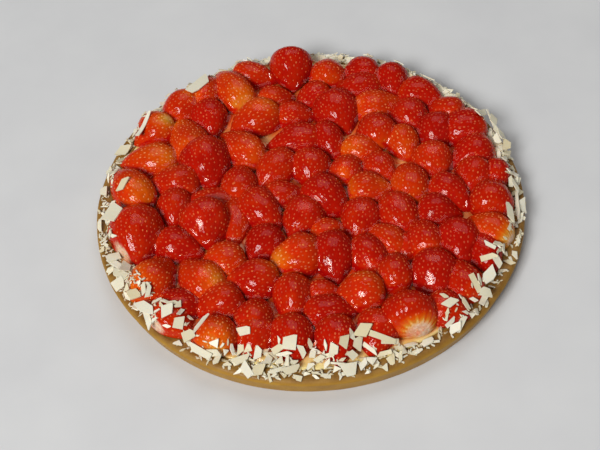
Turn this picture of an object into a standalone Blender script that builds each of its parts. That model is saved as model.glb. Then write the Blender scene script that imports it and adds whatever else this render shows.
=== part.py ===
"""A strawberry flan: shortcrust base, cream, glazed strawberries and white chocolate shavings.

Metres, +Z up. The origin is the middle of the flat underside.
"""

import math

import bmesh
import bpy
from mathutils import Matrix, Vector

MM = 0.001

# Driving dimensions, in millimetres
RIM_RADIUS = 140.0
BASE_RADIUS = 136.4
RIM_HEIGHT = 14.5
LEDGE_TOP = 14.0
LEDGE_WIDTH = 6.0
LEDGE_RISE = 0.3
RIM_ROUNDING = 3.2
FOOT_HEIGHT = 1.0
FOOT_STEP = 0.8
CREAM_RADIUS = 130.0
CREAM_TOP = 14.2
CREAM_FLOOR = 6.0
CREAM_EDGE = 0.6
FIT_GAP = 0.3
GLAZE_RADIUS = 128.0
GLAZE_THICKNESS = 1.6
BERRY_SINK = 0.3
SHOULDER_SHARE = 0.72
BERRY_FULLNESS = 0.5
TIP_TAPER = 0.25
SHAVING_THICKNESS = 1.2
SUNK_THICKNESS = 2.0
SHAVING_SINK = 0.4
SHAVING_SLANT = 0.35
SLOPE_REACH = 2.5

# Facets
TURN_STEPS = 80
BERRY_SEGMENTS = 10
BERRY_RINGS = 5

# Colours, linear RGB
CRUST_COLOUR = (0.52, 0.29, 0.10)
CREAM_COLOUR = (0.82, 0.58, 0.25)
BERRY_COLOUR = (0.55, 0.02, 0.01)

# One row for each strawberry: x, y, heading of the tip in degrees, length, width, height
BERRIES = (
    # Back row along the rim, left to right
    (-118, 17, 122, 44, 28, 17),
    (-106, 41, 180, 40, 28, 14),
    (-104, 68, 215, 32, 28, 15),
    (-86, 88, 215, 32, 28, 15),
    (-67, 102, 65, 38, 23, 15),
    (-49, 103, 118, 47, 26, 17),
    (-32, 116, 345, 36, 22, 13),
    (-6, 115, 272, 34, 30, 24),
    (20, 114, 80, 30, 27, 15),
    (42, 111, 180, 30, 29, 15),
    (64, 101, 270, 30, 26, 14),
    (84, 86, 330, 34, 28, 14),
    (98, 70, 150, 28, 24, 13),
    (105, 51, 188, 38, 32, 16),
    (110, 28, 210, 34, 28, 14),
    (124, 7, 270, 26, 18, 12),
    # Second row from the back
    (-79, 57, 105, 50, 28, 15),
    (-65, 76, 280, 36, 27, 14),
    (-34, 73, 205, 38, 31, 16),
    (-18, 92, 10, 28, 23, 12),
    (7, 91, 220, 28, 23, 12),
    (38, 95, 205, 38, 26, 14),
    (53, 79, 10, 38, 28, 13),
    (74, 65, 290, 30, 26, 14),
    (89, 49, 260, 32, 29, 15),
    # Third row
    (-67, 33, 280, 42, 35, 20),
    (-44, 47, 130, 42, 27, 15),
    (-5, 75, 0, 29, 22, 12),
    (24, 73, 290, 37, 33, 18),
    (-7, 51, 187, 40, 27, 13),
    (16, 48, 290, 34, 22, 13),
    (49, 56, 100, 34, 29, 16),
    (39, 38, 340, 32, 24, 12),
    (66, 41, 280, 30, 24, 13),
    (84, 22, 280, 32, 29, 15),
    (108, 7, 250, 32, 26, 14),
    # Fourth row, through the middle
    (-89, 20, 175, 36, 27, 14),
    (-88, -3, 270, 32, 24, 13),
    (-66, 2, 180, 38, 25, 9),
    (-45, 17, 80, 34, 25, 14),
    (-22, 25, 235, 38, 27, 14),
    (2, 24, 270, 30, 29, 15),
    (27, 23, 60, 28, 24, 12),
    (49, 20, 300, 28, 23, 12),
    (66, 7, 95, 36, 26, 16),
    (41, 2, 0, 32, 26, 15),
    (92, -6, 310, 34, 25, 15),
    (117, -11, 80, 34, 29, 17),
    # Fifth row
    (-112, -25, 275, 44, 36, 20),
    (-67, -20, 280, 36, 34, 21),
    (-49, -16, 270, 40, 23, 9),
    (-31, -10, 305, 38, 28, 15),
    (-16, 4, 0, 28, 23, 11),
    (11, -3, 310, 36, 30, 17),
    (-6, -19, 240, 34, 28, 15),
    (31, -23, 255, 34, 26, 15),
    (11, -29, 0, 26, 21, 10),
    (57, -22, 285, 36, 28, 15),
    (83, -20, 350, 30, 27, 14),
    (111, -37, 140, 34, 28, 15),
    # Sixth row
    (-84, -34, 335, 34, 26, 13),
    (-58, -48, 190, 32, 27, 13),
    (-32, -37, 235, 30, 26, 13),
    (-12, -50, 195, 38, 31, 17),
    (12, -52, 275, 38, 28, 17),
    (35, -54, 290, 36, 26, 14),
    (46, -38, 130, 32, 22, 12),
    (58, -47, 270, 24, 20, 9),
    (70, -40, 95, 34, 25, 15),
    (92, -48, 275, 36, 30, 17),
    (107, -56, 280, 32, 22, 13),
    # Seventh row
    (-100, -59, 60, 38, 30, 17),
    (-72, -60, 125, 38, 29, 15),
    (-40, -65, 180, 36, 28, 16),
    (-15, -81, 265, 34, 25, 15),
    (5, -77, 0, 24, 18, 10),
    (26, -80, 180, 32, 28, 17),
    (49, -65, 85, 32, 24, 15),
    (73, -71, 270, 36, 30, 18),
    (89, -74, 110, 36, 24, 14),
    # Front row, left to right
    (-82, -80, 0, 32, 26, 12),
    (-88, -91, 316, 34, 22, 13),
    (-60, -81, 200, 32, 28, 15),
    (-38, -91, 70, 30, 26, 13),
    (-62, -102, 80, 30, 30, 16),
    (-39, -106, 250, 30, 27, 12),
    (8, -92, 0, 34, 24, 13),
    (-17, -110, 270, 34, 29, 14),
    (10, -113, 270, 34, 27, 14),
    (34, -109, 250, 32, 28, 13),
    (54, -96, 95, 34, 34, 22),
    (79, -96, 340, 28, 25, 13),
)

# Shavings on the ledge of the crust: x, y, heading, length, width, lean about the long axis in degrees
LEDGE_SHAVINGS = (
    # Front, left to right
    (-111, -82, 306, 10, 3, -6),
    (-69, -118, 328, 15, 4, 5),
    (-57, -123, 10, 6, 5, 0),
    (-49, -127, 345, 9, 4, 7),
    (-43, -129, 300, 9, 5, -5),
    (-35, -130, 80, 7, 6, 6),
    (-26, -131, 20, 10, 3, 9),
    (-17, -133, 12, 11, 4, -6),
    (-3, -136, 30, 4, 3, 0),
    (3, -133, 100, 5, 3, 8),
    (16, -135, 5, 7, 6, -4),
    (25, -132, 45, 8, 4, 8),
    (31, -131, 20, 6, 5, -8),
    (41, -128, 60, 6, 6, 5),
    (47, -127, 85, 8, 3, 0),
    (36, -132, 80, 4, 4, 6),
    (64, -117, 20, 9, 5, -6),
    (57, -123, 15, 6, 3, 5),
    (81, -111, 30, 8, 4, 5),
    # Right
    (101, -90, 55, 9, 4, -8),
    (106, -86, 50, 6, 4, 6),
    (114, -76, 58, 12, 5, 8),
    (123, -57, 70, 6, 5, -6),
    (129, -47, 60, 3, 3, 0),
    (134, -18, 85, 24, 3, -8),
    (137, -13, 80, 10, 4, 6),
    (132, 34, 104, 8, 5, 10),
    # Left
    (-136, -2, 95, 12, 6, 10),
    (-136, -14, 80, 9, 3, -8),
    (-133, -28, 60, 4, 4, 5),
    (-129, -42, 290, 10, 5, 8),
    (-124, -54, 300, 9, 5, -8),
    (-121, -63, 30, 6, 6, 5),
    (-123, 55, 66, 8, 4, 14),
    # Standing along the back
    (-79, 111, 36, 13, 5, 40),
    (-24, 134, 10, 9, 4, 35),
    (16, 135, 352, 14, 5, 40),
    (32, 133, 346, 12, 4, 35),
    (61, 122, 333, 10, 5, 40),
    (82, 109, 323, 11, 5, 35),
    (97, 96, 315, 10, 4, 40),
    (106, 86, 309, 9, 5, 35),
)

# Shavings on the strawberries: x, y, heading, length, width
BERRY_SHAVINGS = (
    (-121, 12, 52, 12, 6),
    (-111, 68, 65, 20, 4),
    (-73, 108, 50, 18, 7),
    (-105, -73, 95, 9, 3),
    (-101, -74, 80, 9, 3),
    (-112, -65, 30, 8, 5),
    (-90, -89, 60, 9, 7),
    (-87, -84, 15, 8, 3),
    (-83, -98, 80, 8, 7),
    (-71, -99, 42, 15, 4),
    (-62, -114, 70, 6, 6),
    (-63, -112, 350, 8, 4),
    (-45, -107, 355, 10, 6),
    (-38, -112, 75, 7, 4),
    (-18, -117, 60, 9, 8),
    (-24, -117, 10, 8, 4),
    (-13, -117, 295, 8, 4),
    (3, -120, 70, 7, 3),
    (14, -119, 75, 8, 6),
    (8, -121, 95, 8, 3),
    (26, -112, 60, 9, 9),
    (37, -116, 342, 18, 4),
    (30, -120, 315, 9, 3),
    (80, -97, 35, 9, 6),
    (87, -93, 310, 7, 3),
    (97, -79, 295, 13, 4),
    (107, -61, 8, 11, 4),
    (110, -55, 330, 8, 3),
    (126, -20, 85, 15, 5),
)


def principled(name, colour, roughness):
    material = bpy.data.materials.new(name)
    material.use_nodes = True
    shader = material.node_tree.nodes["Principled BSDF"]
    shader.inputs["Base Color"].default_value = (*colour, 1.0)
    shader.inputs["Roughness"].default_value = roughness
    material.diffuse_color = (*colour, 1.0)
    return material


def new_collection(name):
    collection = bpy.data.collections.new(name)
    bpy.context.scene.collection.children.link(collection)
    return collection


def new_object(name, mesh, collection, material):
    thing = bpy.data.objects.new(name, mesh)
    collection.objects.link(thing)
    mesh.materials.append(material)
    return thing


def turned(name, profile, collection, material):
    """A solid of revolution from (radius, height) points, run down the outer side from top to bottom."""
    mesh = bpy.data.meshes.new(name)
    shape = bmesh.new()
    points = [shape.verts.new((radius * MM, 0.0, height * MM)) for radius, height in profile]
    for start, end in zip(points, points[1:]):
        shape.edges.new((start, end))
    shape.to_mesh(mesh)
    shape.free()
    solid = new_object(name, mesh, collection, material)
    screw = solid.modifiers.new("Turn", "SCREW")
    screw.axis = "Z"
    screw.angle = math.tau
    screw.steps = TURN_STEPS
    screw.render_steps = TURN_STEPS
    screw.use_merge_vertices = True
    screw.merge_threshold = 0.0001
    screw.use_smooth_shade = True
    return solid


def make_crust(collection):
    """A round base whose low wall stands outside the cream, with a rounded lip and an inward taper below."""
    lip = [
        (
            RIM_RADIUS - RIM_ROUNDING + RIM_ROUNDING * math.sin(turn),
            RIM_HEIGHT - RIM_ROUNDING + RIM_ROUNDING * math.cos(turn),
        )
        for turn in (0.0, math.pi / 6, math.pi / 3, math.pi / 2)
    ]
    profile = [
        (0.0, CREAM_FLOOR),
        (CREAM_RADIUS + FIT_GAP, CREAM_FLOOR),
        (CREAM_RADIUS + FIT_GAP, LEDGE_TOP),
        (CREAM_RADIUS + FIT_GAP + LEDGE_WIDTH, LEDGE_TOP + LEDGE_RISE),
        *lip,
        (BASE_RADIUS + FOOT_STEP, FOOT_HEIGHT),
        (BASE_RADIUS, 0.0),
        (0.0, 0.0),
    ]
    material = principled("shortcrust", CRUST_COLOUR, 0.6)
    crust = turned("crust", profile, collection, material)
    pieces = new_collection("shavings to fuse")
    for row in LEDGE_SHAVINGS:
        lay_on_ledge(row, pieces)
    fuse(crust, pieces)
    return crust


def make_cream(collection):
    profile = [
        (0.0, CREAM_TOP),
        (CREAM_RADIUS - CREAM_EDGE, CREAM_TOP),
        (CREAM_RADIUS, CREAM_TOP - CREAM_EDGE),
        (CREAM_RADIUS, CREAM_FLOOR + FIT_GAP),
        (0.0, CREAM_FLOOR + FIT_GAP),
    ]
    material = principled("custard cream", CREAM_COLOUR, 0.35)
    return turned("cream", profile, collection, material)


def berry_girth(along):
    """Share of the full width at a place along the berry, 0 at the shoulder and 1 at the tip."""
    inside = min(max(along, 0.0), 1.0)
    return math.sin(math.pi * inside**SHOULDER_SHARE) ** (BERRY_FULLNESS + TIP_TAPER * inside)


def make_berry(row, bed, collection):
    """A strawberry lying on its side: round above, and flat where it is cut or sinks into the glaze."""
    x, y, heading, length, width, height = row
    raised = max(0.0, height - width / 2)
    dome = height - raised
    shape = bmesh.new()
    bmesh.ops.create_uvsphere(shape, u_segments=BERRY_SEGMENTS, v_segments=BERRY_RINGS, radius=1.0)
    for point in shape.verts:
        along = (1.0 + point.co.z) / 2
        girth = berry_girth(along)
        around = math.atan2(point.co.y, point.co.x)
        up = girth * (raised + dome * math.sin(around))
        side = girth * width / 2 * math.cos(around)
        point.co = Vector(((along - 0.5) * length, side, max(0.0, up)))
    place = Matrix.Translation((x, y, bed)) @ Matrix.Rotation(math.radians(heading), 4, "Z")
    shape.transform(Matrix.Scale(MM, 4) @ place)
    mesh = bpy.data.meshes.new("berry")
    shape.to_mesh(mesh)
    shape.free()
    berry = bpy.data.objects.new("berry", mesh)
    collection.objects.link(berry)
    return berry


def berry_top(x, y):
    """Height of the highest strawberry over a place, above the plane they lie on; 0 where there is none."""
    top = 0.0
    for berry_x, berry_y, heading, length, width, height in BERRIES:
        turn = math.radians(heading)
        ahead = (x - berry_x) * math.cos(turn) + (y - berry_y) * math.sin(turn)
        aside = (y - berry_y) * math.cos(turn) - (x - berry_x) * math.sin(turn)
        along = ahead / length + 0.5
        if not 0.0 < along < 1.0:
            continue
        girth = berry_girth(along)
        across = 2.0 * aside / (girth * width)
        if abs(across) < 1.0:
            raised = max(0.0, height - width / 2)
            top = max(top, girth * (raised + (height - raised) * math.sqrt(1.0 - across**2)))
    return top


def make_shaving(place, size, collection):
    """A thin flat chip of white chocolate with one slanted end."""
    shape = bmesh.new()
    bmesh.ops.create_cube(shape, size=1.0)
    for point in shape.verts:
        if point.co.x > 0:
            point.co.x += SHAVING_SLANT * point.co.y
        point.co = Vector(corner * side for corner, side in zip(point.co, size))
    shape.transform(Matrix.Scale(MM, 4) @ place)
    mesh = bpy.data.meshes.new("shaving")
    shape.to_mesh(mesh)
    shape.free()
    shaving = bpy.data.objects.new("shaving", mesh)
    collection.objects.link(shaving)


def lay_on_ledge(row, collection):
    x, y, heading, length, width, lean = row
    lift = abs(math.sin(math.radians(lean))) * width / 2
    place = Matrix.Translation((x, y, LEDGE_TOP + SHAVING_SINK + lift))
    place = place @ Matrix.Rotation(math.radians(heading), 4, "Z")
    place = place @ Matrix.Rotation(math.radians(lean), 4, "X")
    make_shaving(place, (length, width, SHAVING_THICKNESS), collection)


def lay_on_berries(row, bed, collection):
    """The chip lies along the slope of the strawberries under it."""
    x, y, heading, length, width = row
    slope_x = (berry_top(x + SLOPE_REACH, y) - berry_top(x - SLOPE_REACH, y)) / (2 * SLOPE_REACH)
    slope_y = (berry_top(x, y + SLOPE_REACH) - berry_top(x, y - SLOPE_REACH)) / (2 * SLOPE_REACH)
    normal = Vector((-slope_x, -slope_y, 1.0)).normalized()
    tilt = Vector((0.0, 0.0, 1.0)).rotation_difference(normal).to_matrix().to_4x4()
    place = Matrix.Translation((x, y, bed + berry_top(x, y) - SHAVING_SINK))
    place = place @ tilt @ Matrix.Rotation(math.radians(heading), 4, "Z")
    make_shaving(place, (length, width, SUNK_THICKNESS), collection)


def fuse(target, pieces):
    """Joins every object of a collection to the target by one Boolean union, and removes them."""
    union = target.modifiers.new("Fuse", "BOOLEAN")
    union.operation = "UNION"
    union.solver = "MANIFOLD"
    union.operand_type = "COLLECTION"
    union.collection = pieces
    bpy.context.view_layer.update()
    graph = bpy.context.evaluated_depsgraph_get()
    joined = bpy.data.meshes.new_from_object(target.evaluated_get(graph))
    target.modifiers.clear()
    target.data = joined
    for piece in list(pieces.objects):
        bpy.data.objects.remove(piece, do_unlink=True)
    bpy.data.collections.remove(pieces)


def make_strawberries(collection):
    """The heap of strawberries, on the sheet of clear glaze that holds them to the cream."""
    bed = CREAM_TOP + FIT_GAP
    profile = [
        (0.0, bed + GLAZE_THICKNESS),
        (GLAZE_RADIUS - GLAZE_THICKNESS, bed + GLAZE_THICKNESS),
        (GLAZE_RADIUS, bed + GLAZE_THICKNESS / 2),
        (GLAZE_RADIUS, bed),
        (0.0, bed),
    ]
    material = principled("glazed strawberry", BERRY_COLOUR, 0.15)
    heap = turned("strawberries", profile, collection, material)
    pieces = new_collection("berries to fuse")
    for row in BERRIES:
        make_berry(row, bed + BERRY_SINK, pieces)
    for row in BERRY_SHAVINGS:
        lay_on_berries(row, bed + BERRY_SINK, pieces)
    fuse(heap, pieces)
    return heap


def main():
    for thing in list(bpy.data.objects):
        bpy.data.objects.remove(thing, do_unlink=True)
    flan = new_collection("strawberry flan")
    make_crust(flan)
    make_cream(flan)
    make_strawberries(flan)


main()
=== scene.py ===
"""The looks of a round strawberry flan.

It has a baked crust, custard cream, glazed strawberries and flakes of white chocolate. Lengths are
in millimetres, except for the lights. +Z is up, -Y is the front, and the origin is the middle of
the underside.
"""

import math

import bpy
import numpy as np
from mathutils import Matrix, Vector


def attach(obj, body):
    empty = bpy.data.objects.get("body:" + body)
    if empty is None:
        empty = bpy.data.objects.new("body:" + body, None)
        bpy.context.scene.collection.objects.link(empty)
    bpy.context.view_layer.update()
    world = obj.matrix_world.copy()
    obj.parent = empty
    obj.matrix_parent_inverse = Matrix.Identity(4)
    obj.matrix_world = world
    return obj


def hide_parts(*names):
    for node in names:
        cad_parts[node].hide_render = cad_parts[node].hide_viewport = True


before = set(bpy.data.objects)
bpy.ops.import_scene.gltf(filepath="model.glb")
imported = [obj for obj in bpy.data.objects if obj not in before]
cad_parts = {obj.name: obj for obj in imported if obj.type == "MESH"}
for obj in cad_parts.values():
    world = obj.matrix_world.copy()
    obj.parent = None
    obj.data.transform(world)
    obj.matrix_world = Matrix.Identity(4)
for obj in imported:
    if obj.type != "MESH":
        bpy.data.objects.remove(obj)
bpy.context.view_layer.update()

MM = 0.001
SEED = 20

# Crust; waves and bumps are given as depth and size
RIM_RADIUS = 140.0
BASE_RADIUS = 136.4
RIM_HEIGHT = 14.5
RIM_ROUNDING = 3.2
FOOT_WIDTH = 0.8
FOOT_HEIGHT = 1.0
LEDGE_TOP = 14.0
LEDGE_WIDTH = 6.0
LEDGE_RISE = 0.3
CRUST_STEPS = 420
WALL_SWELL = (0.35, 45.0)
WALL_BUMPS = (0.14, 9.0)
WALL_SET_BACK = 0.1
WALL_MOST_OUT = 0.25
TOP_BUMPS = (0.22, 12.0)

# Cream and glaze
CREAM_RADIUS = 130.0
CREAM_TOP = 14.2
CREAM_FLOOR = 6.0
CREAM_EDGE = 0.6
CREAM_CORE = 4.0
CREAM_RINGS = 90
CREAM_STEPS = 240
CREAM_WAVES = (0.35, 14.0)
FIT_GAP = 0.3
# Painted red shade on the cream is at full strength where the filled valley over it stands this
# high above the cream
GAP_SHADE_DEPTH = 6.0
GLAZE_LEVEL = 17.0
GLAZE_WAVES = (0.25, 30.0)
GLAZE_FOOT = 0.4
GLAZE_EDGE = 3.0
FILM_SINK = 0.28
FILM_MARGIN = 0.35
FILM_SMOOTHINGS = 3
GLAZE_RADIUS = 128.0
FILLET_BALL = 5.6
THIN_GLAZE = 3.0
THICK_GLAZE = 6.0
GRID_STEP = 0.8
GRID_MARGIN = 8.0

# Strawberries; a share is of the strawberry's length, unless another is named
BERRY_FLOOR = 14.8
SHOULDER_SHARE = 0.72
BERRY_FULLNESS = 0.5
TIP_TAPER = 0.25
BERRY_STEP = 1.01
OUTLINE_SHARE = 1.25
GIRTH_SHARE = 0.62  # of pi times the width
SKIRT_ANGLE = 22.0
SLOPE_STEP = 1e-3
BACK_LINE = -2.0
SEED_SPACING = 3.3
SEED_ROW_SHARE = 0.86  # of the spacing
SEED_STRAY = 0.12  # of the spacing
SEED_TURN_STRAY = 0.05
SEED_TURN_PAST = 0.1
SEED_END_SHARE = 0.03
SEED_SIDES = 6
SEED_LENGTH = 1.7
SEED_WIDTH = 1.2
SEED_HEIGHT = 0.36
SEED_SINK = 0.55  # of a dimple's depth
LUMP_SHARE = 0.035
LUMP_SPACING = 17.0
DIMPLE_DEPTH = 0.34
DIMPLE_WIDTH = 1.15
DIMPLE_RAISE = 0.35  # of a dimple's depth
PATCH_REACH = 0.62
PATCH_FALL = 1.2
SHOULDER_REACH = 0.16
SHOULDER_PALENESS = 0.22
MARK_REACH = 6.0
CUT_HEIGHT = 0.4  # of the strawberry's height
CUT_BLEND = 0.8
CUT_SEED_MARGIN = 0.6
HULL_HEIGHT = 2.0
HULL_RAGGED = 2.0
HULL_BLEND = 2.5
HULL_BARE_SHARE = 0.8  # of the streaks' reach

# Flakes
FLAKE_SLOPE = 1.0
MOST_GAP = 1.5
MOST_PILED = 2.2
RESTING_SHARE = 0.93
FLAKE_REACH = 137.5
FLAKE_SHARE = 0.9
FLAKE_THICKNESS = (0.5, 0.9)
NARROW_SHARE = 0.45
LARGE_FLAKE = 14.0
FOUR_SIDED = 0.88
LONG_FLAKE = 7.0
FLAKE_TRIM = 0.02
FLAKE_TWIST = 0.12
BED_SHARE = 0.47
BED_DEPTH = 5.0
SIGHT_TOP, SIGHT_FLOOR, SIGHT_STEP = 42.0, 13.0, 0.5

# Camera; the table of flakes gives what it sees on a level plane at SIGHT_LEVEL
CAMERA_ELEVATION = 51.0
CAMERA_ROLL = -3.81
CAMERA_DISTANCE = 780.1
CAMERA_AIM = (-7.3, -9.0)
CAMERA_LENS = 70.9
CAMERA_SENSOR = 36.0
SIGHT_LEVEL = 20.0

# Lights: name, place in metres, size in metres, power; all point at the origin
LIGHTS = (
    ("window", (-1.44, -2.24, 2.4), (1.4, 1.1), 126.0),
    ("ceiling", (0.3, 1.3, 2.6), (2.4, 2.0), 24.0),
)
SKY_COLOUR = (0.95, 0.97, 1.0, 1.0)
SKY_STRENGTH = 0.10
FLOOR_REACH = 3000.0

# The four corners of every cell of a square grid, in turn
LOW, HIGH = slice(None, -1), slice(1, None)
CORNERS = ((LOW, LOW), (HIGH, LOW), (HIGH, HIGH), (LOW, HIGH))

# One row for each strawberry: x, y, heading of the tip in degrees, length, width, height, paleness.
# Paleness, in percent, runs from 0, deep red, through 40, red, and 70, orange, to 100, yellow.
BERRIES = (
    # Back row along the rim, left to right
    (-118, 17, 122, 44, 28, 17, 45), (-106, 41, 180, 40, 28, 14, 50),
    (-104, 68, 215, 32, 28, 15, 48), (-86, 88, 215, 32, 28, 15, 40), (-67, 102, 65, 38, 23, 15, 50),
    (-49, 103, 118, 47, 26, 17, 50), (-32, 116, 345, 36, 22, 13, 42),
    (-6, 115, 272, 34, 30, 24, 32), (20, 114, 80, 30, 27, 15, 45), (42, 111, 180, 30, 29, 15, 28),
    (64, 101, 270, 30, 26, 14, 25), (84, 86, 330, 34, 28, 14, 32), (98, 70, 150, 28, 24, 13, 38),
    (105, 51, 188, 38, 32, 16, 30), (110, 28, 210, 34, 28, 14, 30), (124, 7, 270, 26, 18, 12, 30),
    # Second row from the back
    (-79, 57, 105, 50, 28, 15, 50), (-65, 76, 280, 36, 27, 14, 30), (-34, 73, 205, 38, 31, 16, 40),
    (-18, 92, 10, 28, 23, 12, 38), (7, 91, 220, 28, 23, 12, 32), (38, 95, 205, 38, 26, 14, 30),
    (53, 79, 10, 38, 28, 13, 50), (74, 65, 290, 30, 26, 14, 32), (89, 49, 260, 32, 29, 15, 22),
    # Third row
    (-67, 33, 280, 42, 35, 20, 26), (-44, 47, 130, 42, 27, 15, 43), (-5, 75, 0, 29, 22, 12, 36),
    (24, 73, 290, 37, 33, 18, 30), (-7, 51, 187, 40, 27, 13, 30), (16, 48, 290, 34, 22, 13, 26),
    (49, 56, 100, 34, 29, 16, 36), (39, 38, 340, 32, 24, 12, 45), (66, 41, 280, 30, 24, 13, 52),
    (84, 22, 280, 32, 29, 15, 42), (108, 7, 250, 32, 26, 14, 34),
    # Fourth row, through the middle
    (-89, 20, 175, 36, 27, 14, 38), (-88, -3, 270, 32, 24, 13, 34), (-66, 2, 180, 38, 25, 9, 36),
    (-45, 17, 80, 34, 25, 14, 34), (-22, 25, 235, 38, 27, 14, 38), (2, 24, 270, 30, 29, 15, 34),
    (27, 23, 60, 28, 24, 12, 36), (49, 20, 300, 28, 23, 12, 36), (66, 7, 95, 36, 26, 16, 42),
    (41, 2, 0, 32, 26, 15, 46), (92, -6, 310, 34, 25, 15, 30), (117, -11, 80, 34, 29, 17, 34),
    # Fifth row
    (-112, -25, 275, 44, 36, 20, 36), (-67, -20, 280, 36, 34, 21, 34),
    (-49, -16, 270, 40, 23, 9, 40), (-31, -10, 305, 38, 28, 15, 34), (-16, 4, 0, 28, 23, 11, 34),
    (11, -3, 310, 36, 30, 17, 28), (-6, -19, 240, 34, 28, 15, 32), (31, -23, 255, 34, 26, 15, 34),
    (11, -29, 0, 26, 21, 10, 42), (57, -22, 285, 36, 28, 15, 34), (83, -20, 350, 30, 27, 14, 22),
    (111, -37, 140, 34, 28, 15, 52),
    # Sixth row
    (-84, -34, 335, 34, 26, 13, 28), (-58, -48, 190, 32, 27, 13, 46),
    (-32, -37, 235, 30, 26, 13, 22), (-12, -50, 195, 38, 31, 17, 43),
    (12, -52, 275, 38, 28, 17, 24), (35, -54, 290, 36, 26, 14, 30), (46, -38, 130, 32, 22, 12, 44),
    (58, -47, 270, 24, 20, 9, 38), (70, -40, 95, 34, 25, 15, 34), (92, -48, 275, 36, 30, 17, 24),
    (107, -56, 280, 32, 22, 13, 26),
    # Seventh row
    (-100, -59, 60, 38, 30, 17, 46), (-72, -60, 125, 38, 29, 15, 42),
    (-40, -65, 180, 36, 28, 16, 30), (-15, -81, 265, 34, 25, 15, 38), (5, -77, 0, 24, 18, 10, 36),
    (26, -80, 180, 32, 28, 17, 44), (49, -65, 85, 32, 24, 15, 34), (73, -71, 270, 36, 30, 18, 26),
    (89, -74, 110, 36, 24, 14, 34),
    # Front row, left to right
    (-82, -80, 0, 32, 26, 12, 28), (-88, -91, 316, 34, 22, 13, 42), (-60, -81, 200, 32, 28, 15, 36),
    (-38, -91, 70, 30, 26, 13, 36), (-62, -102, 80, 30, 30, 16, 47),
    (-39, -106, 250, 30, 27, 12, 38), (8, -92, 0, 34, 24, 13, 28), (-17, -110, 270, 34, 29, 14, 32),
    (10, -113, 270, 34, 27, 14, 32), (34, -109, 250, 32, 28, 13, 36), (54, -96, 95, 34, 34, 22, 34),
    (79, -96, 340, 28, 25, 13, 36),
)

# Pale patches on strawberries that ripened unevenly: x, y, radius, percent
PALE_PATCHES = (
    (-22, -49, 12, 10), (-25, -57, 11, 34), (-41, 85, 12, 20), (-78, 94, 7, 32), (-93, 71, 9, 45),
    (-96, 40, 12, 18), (-110, 10, 11, 25), (-61, -66, 10, 35), (-113, -64, 12, 30),
    (-60, -113, 12, 25), (-24, 78, 11, 25), (30, 36, 10, 20), (52, 4, 10, 18), (-36, 40, 11, 12),
    (-70, 42, 10, 15), (30, -70, 10, 20), (24, 14, 7, 22),
)

# Flat cuts that show: the strawberry's place, heading and rise of the cut, its distance from
# the middle
CUT_FACES = (
    ((-112, -25), 222, 12, 13.4),
    ((-88, -91), 225, 12, 9.3),
)

# Hulled ends that show, with pale flesh and streaks round it: the strawberry's place, heading,
# rise, radius of the flesh, radius of the streaks
PALE_ENDS = (
    ((54, -96), 277, 8, 8.0, 16.0),
    ((111, -37), 318, 10, 4.0, 14.0),
    ((-62, -102), 262, 0, 5.0, 9.0),
)

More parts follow.
